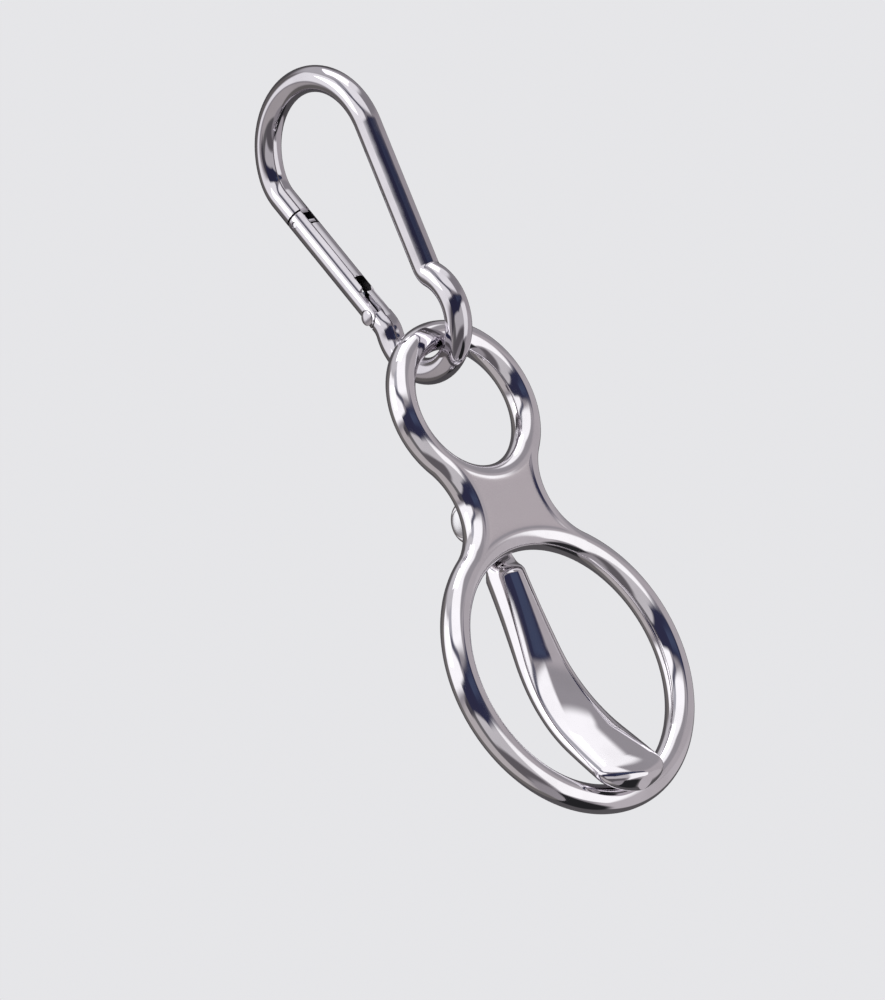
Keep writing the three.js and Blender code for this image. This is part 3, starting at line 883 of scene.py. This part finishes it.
def snapGate():
    top, cheek = gateLength, g["cheekRadius"]
    low = -cheek - 1
    bar = startDisc("snapGate", hookRadius, g["sides"], (0, -axisShift, low))
    for _ in range(g["rows"]):
        extrudeBy(0, 0, (top - low) / g["rows"])
    turnOutwards()
    pickVertices(bar, lambda co: co.z > top - pickWithin)
    bpy.ops.mesh.bevel(offset=g["endRounding"], segments=3, affect="EDGES")
    bpy.ops.object.mode_set(mode="OBJECT")

    wide, half = 9, 5  # the cutters pass right through the bar, front to back and across
    inner = gateBlock("inner", -wide, -cheek, -half, g["cheekHeight"], half)
    pickVertices(inner, lambda co: co.z > 0 and co.y < -cheek - pickWithin)
    taper = g["forkTaper"] * (wide - cheek) / (h["wire"] - 2 * cheek + 1)
    bpy.ops.transform.translate(value=(0, 0, taper))
    bpy.ops.object.mode_set(mode="OBJECT")
    below = gateBlock("below", -wide, wide, -wide, 0, half)
    rounded = addCylinder("rounded", cheek, -half, half, g["sides"])
    combine(below, [rounded], "DIFFERENCE")
    slot = g["tang"] / 2 + g["gap"]
    fork = gateBlock("fork", -wide, wide, -wide, g["forkDepth"], slot)
    mouth = g["latchThickness"] / 2 + g["gap"]
    mouthLow = top - g["latchDepth"] - g["latchEndRoom"]
    latchSlot = gateBlock("latchSlot", -wide, wide, mouthLow, top + 2, mouth)
    boreLow, boreTop = g["forkDepth"] - 1, mouthLow - g["boreEndWall"]
    bore = addCylinder("bore", g["bore"] / 2, boreLow, boreTop, smallSides, "Z", (0, -axisShift))
    latchHoleRadius = g["latchPin"] / 2 + g["latchHoleGap"]
    latchHole = addCylinder(
        "latchHole", latchHoleRadius, -half, half, smallSides, place=(-axisShift, pinRise)
    )
    rivetHole = addCylinder("rivetHole", g["rivet"] / 2 + g["gap"], -half, half, smallSides)
    seatRadius = g["rivetHead"] / 2 + g["seatGap"]
    seats = []
    for side in (-1, 1):
        ends = sorted((side * rivetSeat, side * (hookRadius + 1)))
        seats.append(addCylinder("seat", seatRadius, *ends))
    combine(bar, [inner, below, fork, latchSlot, bore, latchHole, rivetHole, *seats], "DIFFERENCE")
    softenEdges(bar, g["edge"])

    # Faces painted with shade, and made rougher: the walls of both slots, but for the bar's own outside
    def inSlot(spot):
        inFork = abs(spot.x) < slot + m["slot"] and spot.z < g["forkDepth"] + m["slotEnd"]
        inMouth = abs(spot.x) < mouth + m["slot"] and spot.z > mouthLow - m["slotEnd"]
        return (inFork or inMouth) and abs(spot.y + axisShift) < hookRadius - m["depth"]

    return markFaces(bar, "slotPaintedShadeShare", inSlot)


gate = snapGate()
settle(gate, gatePlace, "gate", "snap_gate", hookSteelWithPaintedSlotShade, angle=32)

rivet = headedPin(
    "gateRivet", g["rivet"] / 2, g["rivetHead"] / 2, g["rivetHeadHeight"], rivetSeat + g["gap"]
)
settle(rivet, gatePlace, "hook_body", "gate_rivet", hookSteel)


def latchPinPiece():
    half = hookRadius - g["gap"]
    pin = addCylinder("latchPin", g["latchPin"] / 2, -half, half, smallSides, place=(-axisShift, pinRise))
    return softenEdges(pin, g["latchPinEdge"], 3)


latchPin = latchPinPiece()
settle(latchPin, gatePlace, "gate", "latch_pin", turned)

# The plunger's shape needs nothing more, only its finish
plunger = frame["nodes"]["gate_plunger"]
plunger.data.materials.clear()
plunger.data.materials.append(turned)
print("stage: plunger finished")

springMergeWithin = 1e-7


# The spring is a copy of its solid with the loose triangles merged, so it is in metres already
def coilSpring():
    choose(frame["nodes"]["gate_spring"])
    bpy.ops.object.duplicate()
    spring = added("coilSpring")
    bpy.ops.object.mode_set(mode="EDIT")
    bpy.ops.mesh.select_all(action="SELECT")
    bpy.ops.mesh.remove_doubles(threshold=springMergeWithin)
    bpy.ops.object.mode_set(mode="OBJECT")
    return spring


spring = coilSpring()
slide = next(joint for joint in frame["joints"] if joint["name"] == "plunger_slide")
axis = Vector(slide["axis"])
reaches = [axis.dot(vertex.co) for vertex in spring.data.vertices]
length = max(reaches) - min(reaches)
settle(spring, toMetres.inverted(), "gate", "gate_spring", springSteel, angle=60)
1 - slide["range_m"][1] / length
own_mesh(spring)


# Stage: a pale floor, soft lamps, and a studio that the polished steel mirrors

stageValues = {
    "floorDrop": 0.30,  # below the lowest point
    "floorSize": 8.0,
    "paleWall": (0.79, 0.79, 0.81),
    "floorColour": (0.8, 0.8, 0.81),
    "roomColour": (0.33, 0.31, 0.33),
}

# Each lamp's place, size and power; both face the object's middle
lamps = {
    "leftSoftbox": ((-0.79, 0.21, 0.47), 0.45, 0.8),
    "topSoftbox": ((0.05, -0.2, 0.95), 0.6, 1.4),
}

low, high = cadBox
deselect()
bpy.ops.mesh.primitive_plane_add(
    size=stageValues["floorSize"], location=(0, 0, low.z - stageValues["floorDrop"])
)
floor = added("floor")
bpy.ops.object.transform_apply()
floorMaterial, floorShader = newMaterial("paleFloor")
diffuse = floorShader.node("BsdfDiffuse", Color=(*stageValues["floorColour"], 1))
floorShader.node("OutputMaterial", Surface=diffuse)
floor.data.materials.append(floorMaterial)
floor.visible_glossy = False  # the steel mirrors the studio's lower half instead

# Panels and flags round the object, each painted over those before it: degrees round from the
# front, degrees above level of its low and high edges (left, right), colour, softness of its edges
studio = {
    "ceiling": ((-200, 200), (58, 58), (100, 100), (0.6, 0.59, 0.61), 8),
    "backWall": ((98, 200), (-70, -70), (56, 56), (0.1, 0.095, 0.1), 8),
    "rearCorner": ((-200, -150), (-70, -70), (52, 52), (0.17, 0.16, 0.155), 6),
    "leftPanel": ((-146, -44), (8, 9), (58, 54), (1.15, 1.15, 1.16), 4),
    "gapWall": ((-84, -44), (44, 32), (62, 62), (0.44, 0.44, 0.48), 4),
    "rightWall": ((18, 110), (15, 15), (50, 50), (0.33, 0.315, 0.335), 6),
    "rightWallLow": ((18, 110), (-4, -4), (17, 17), (0.455, 0.425, 0.445), 4),
    "midPanel": ((-54, 14), (34, 17), (100, 100), (1.15, 1.15, 1.16), 4),
    "topPanel": ((0, 70), (48, 40), (100, 100), (1.12, 1.12, 1.13), 5),
    "streak": ((-76, -29), (37, 18), (47, 26), (0.11, 0.11, 0.15), 3),
    "tableFront": ((-78, 8), (-34, -34), (-3, -3), (0.6, 0.585, 0.6), 4),
    "tableLeft": ((-152, -96), (-62, -62), (1, 1), (0.5, 0.47, 0.47), 5),
    "tableShade": ((-99, -78), (-62, -62), (0, 0), (0.15, 0.145, 0.15), 5),
    "tableDark": ((-92, -4), (-64, -54), (-30, -37), (0.13, 0.12, 0.13), 5),
    "tableRight": ((42, 106), (-60, -60), (-4, -4), (0.52, 0.49, 0.51), 5),
    "nadir": ((-6, 200), (-100, -100), (-58, -60), (0.02, 0.02, 0.022), 4),
    "lowPanel": ((4, 46), (-56, -44), (1, 3), (1.15, 1.15, 1.15), 3),
    "flagTail": ((-108, -72), (-9, -8), (1, 8), (0.07, 0.065, 0.08), 3),
    "flagLeft": ((-80, -26), (-6, -10), (12, 16), (0.03, 0.03, 0.065), 2.5),
    "flagRight": ((-30, 38), (-12, 8), (18, 13), (0.03, 0.032, 0.07), 2.5),
    "flagSheen": ((-16, 26), (4, 8), (13, 12), (0.055, 0.07, 0.13), 3),
}


def buildWorld():
    world = bpy.data.worlds.new("studio")
    bpy.context.scene.world = world
    world.use_nodes = True
    shader = Shader(world.node_tree)
    direction = shader.node("TexCoord", output=0)
    x, y, z = (shader.node("SeparateXYZ", output=i, Vector=direction) for i in range(3))
    bearing = x.maths("ARCTAN2", y * -1.0) * (180 / math.pi)
    above = z.maths("ARCSINE") * (180 / math.pi)
    colour = shader.node("RGB")
    colour.link.default_value = (*stageValues["roomColour"], 1)

    # Fades a panel in above its low edge or out above its high one, along a sloping line
    def edgeAt(left, right, leftHeight, rightHeight, soft, lowSide):
        slope = (rightHeight - leftHeight) / (right - left)
        start = leftHeight - slope * left
        height = above - bearing * slope
        ends = (0.0, 1.0) if lowSide else (1.0, 0.0)
        return shader.between(height, start - soft, start + soft, *ends)

    for (left, right), lowEdge, highEdge, shade, soft in studio.values():
        inside = shader.between(bearing, left - soft, left + soft)
        inside = inside * shader.between(bearing, right - soft, right + soft, 1.0, 0.0)
        inside = inside * edgeAt(left, right, *lowEdge, soft, True)
        inside = inside * edgeAt(left, right, *highEdge, soft, False)
        colour = shader.blend(inside, colour, (*shade, 1))
    seen = shader.node("LightPath", output=0)
    studioLight = shader.node("Background", Color=colour, Strength=1.0)
    plain = shader.node("Background", Color=(*stageValues["paleWall"], 1), Strength=1.0)
    mixed = shader.node("MixShader", i0=seen, i1=studioLight, i2=plain)
    shader.node("OutputWorld", Surface=mixed)


buildWorld()


def addLamp(name, place, target, size, power):
    deselect()
    bpy.ops.object.light_add(type="AREA", location=place)
    lamp = bpy.context.object
    lamp.name = name
    lamp.rotation_euler = (target - Vector(place)).to_track_quat("-Z", "Y").to_euler()
    lamp.data.size = size
    lamp.data.energy = power


for lampName, (place, size, power) in lamps.items():
    addLamp(lampName, place, (low + high) / 2, size, power)


# Camera, from the photograph's side: low, in front and to the left, and rolled

cameraValues = {
    "lookAt": (-0.0149, -0.00945, -0.1059),
    "towards": (-0.691, -0.701, -0.179),
    "up": (0.150, -0.381, 0.913),
    "distance": 2.0,
    "frameHeight": 0.2326,  # metres seen from top to bottom at that distance
    "sensorWidth": 36,
    "clipEnd": 50,
}


def addCamera(v):
    back = Vector(v["towards"]).normalized()
    right = Vector(v["up"]).cross(back).normalized()
    up = back.cross(right)
    data = bpy.data.cameras.new("camera")
    camera = bpy.data.objects.new("camera", data)
    bpy.context.collection.objects.link(camera)
    turn = Matrix((right, up, back)).transposed().to_4x4()
    camera.matrix_world = Matrix.Translation(Vector(v["lookAt"]) + back * v["distance"]) @ turn
    data.sensor_width = v["sensorWidth"]
    data.lens = data.sensor_width * v["distance"] / v["frameHeight"]
    data.clip_end = v["clipEnd"]
    bpy.context.scene.camera = camera


addCamera(cameraValues)
bpy.context.scene.view_settings.view_transform = "Standard"
print("stage: floor, lamps and camera")
